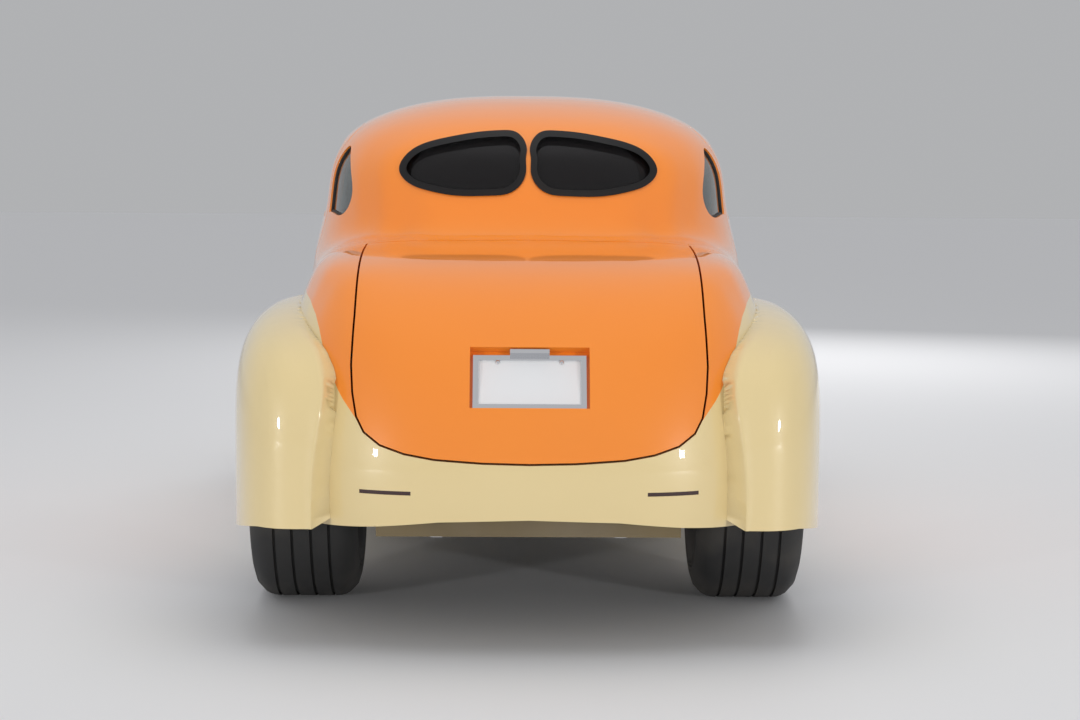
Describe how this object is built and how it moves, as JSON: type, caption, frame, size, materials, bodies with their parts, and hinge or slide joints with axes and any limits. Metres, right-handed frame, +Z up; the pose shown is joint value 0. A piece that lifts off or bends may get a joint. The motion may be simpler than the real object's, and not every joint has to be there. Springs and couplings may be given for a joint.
{
  "type": "coupe street rod",
  "caption": "Full-size two-tone fat-fendered coupe with a split rear window, opening doors, hood and trunk lid, and steered, turning wheels.",
  "frame": {"origin": "on the ground under the middle of the car's length and width", "axes": "+Y forward, +X to the car's right, +Z up"},
  "size_m": [1.7536, 4.2852, 1.578],
  "materials": {
    "orange": "gloss",
    "cream": "gloss",
    "lamp_glass": "clear",
    "bright": "polished",
    "dark_metal": "satin",
    "glass": "tinted",
    "dark_glass": "tinted",
    "seal": "matte",
    "plate": "satin",
    "red_lens": "gloss",
    "engine": "satin",
    "trim": "gloss",
    "upholstery": "satin",
    "tyre": "matte"
  },
  "bodies": {
    "car": {"bench_seat": "upholstery", "body_shell": "orange", "chassis_frame": "dark_metal", "dashboard": "orange", "driveshaft": "dark_metal", "engine": "engine", "firewall": "dark_metal", "floor": "dark_metal", "front_axle": "dark_metal", "front_fender_left": "cream", "front_fender_right": "cream", "front_spring": "dark_metal", "fuel_tank": "cream", "grille": "bright", "headlamps": "lamp_glass", "nose_shell": "orange", "quarter_glass": "glass", "radiator": "dark_metal", "rear_axle": "dark_metal", "rear_fender_left": "cream", "rear_fender_right": "cream", "rear_springs": "dark_metal", "rear_window_seals": "seal", "rear_windows": "dark_glass", "roll_pan": "cream", "running_boards": "cream", "steering_column": "bright", "tail_lamps": "red_lens", "wheel_tubs": "dark_metal", "windshield": "glass"},
    "door_left_panel": {"door_left": "orange", "door_glass_left": "glass"},
    "door_right_panel": {"door_right": "orange", "door_glass_right": "glass"},
    "lid": {"trunk_lid": "orange", "licence_plate": "plate", "plate_frame": "bright"},
    "bonnet": {"hood": "orange"},
    "upright_left": {"knuckle_left": "dark_metal"},
    "upright_right": {"knuckle_right": "dark_metal"},
    "track_rod": {"tie_rod": "dark_metal"},
    "helm": {"steering_wheel": "trim"},
    "wheel_rear_left": {"tyre_rear_left": "tyre", "rim_rear_left": "bright"},
    "wheel_rear_right": {"tyre_rear_right": "tyre", "rim_rear_right": "bright"},
    "wheel_front_left": {"tyre_front_left": "tyre", "rim_front_left": "bright"},
    "wheel_front_right": {"tyre_front_right": "tyre", "rim_front_right": "bright"}
  },
  "joints": [
    {"name": "door_left_hinge", "type": "hinge", "parent": "car", "child": "door_left_panel", "pos_m": [-0.694, 0.563, 0.56], "axis": [0, 0, -1], "range_deg": [0, 65]},
    {"name": "door_right_hinge", "type": "hinge", "parent": "car", "child": "door_right_panel", "pos_m": [0.694, 0.563, 0.56], "axis": [0, 0, 1], "range_deg": [0, 65]},
    {"name": "lid_hinge", "type": "hinge", "parent": "car", "child": "lid", "pos_m": [0, -1.303, 1.138], "axis": [-1, 0, 0], "range_deg": [0, 70]},
    {"name": "hood_hinge", "type": "hinge", "parent": "car", "child": "bonnet", "pos_m": [0, 0.703, 1.166], "axis": [1, 0, 0], "range_deg": [0, 50]},
    {"name": "steer_left", "type": "hinge", "parent": "car", "child": "upright_left", "pos_m": [-0.585, 1.442, 0.33], "axis": [0, 0, 1], "range_deg": [-28, 28]},
    {"name": "steer_right", "type": "hinge", "parent": "car", "child": "upright_right", "pos_m": [0.585, 1.442, 0.33], "axis": [0, 0, 1], "range_deg": [-28, 28]},
    {"name": "rod_slide", "type": "slide", "parent": "car", "child": "track_rod", "axis": [1, 0, 0], "range_m": [-0.0685, 0.0685]},
    {"name": "helm_turn", "type": "hinge", "parent": "car", "child": "helm", "pos_m": [-0.36, 0.22, 0.93], "axis": [0, -0.88, 0.475], "range_deg": [-450, 450]},
    {"name": "spin_front_left", "type": "hinge", "parent": "upright_left", "child": "wheel_front_left", "pos_m": [-0.72, 1.442, 0.33], "axis": [1, 0, 0], "continuous": true},
    {"name": "spin_front_right", "type": "hinge", "parent": "upright_right", "child": "wheel_front_right", "pos_m": [0.72, 1.442, 0.33], "axis": [1, 0, 0], "continuous": true},
    {"name": "spin_rear_left", "type": "hinge", "parent": "car", "child": "wheel_rear_left", "pos_m": [-0.68, -1.2, 0.36], "axis": [1, 0, 0], "continuous": true},
    {"name": "spin_rear_right", "type": "hinge", "parent": "car", "child": "wheel_rear_right", "pos_m": [0.68, -1.2, 0.36], "axis": [1, 0, 0], "continuous": true}
  ],
  "couplings": [
    {"joint": "steer_right", "follows": "steer_left", "ratio": 1},
    {"joint": "rod_slide", "follows": "steer_left", "m_per_rad": 0.14},
    {"joint": "helm_turn", "follows": "steer_left", "ratio": 16}
  ]
}
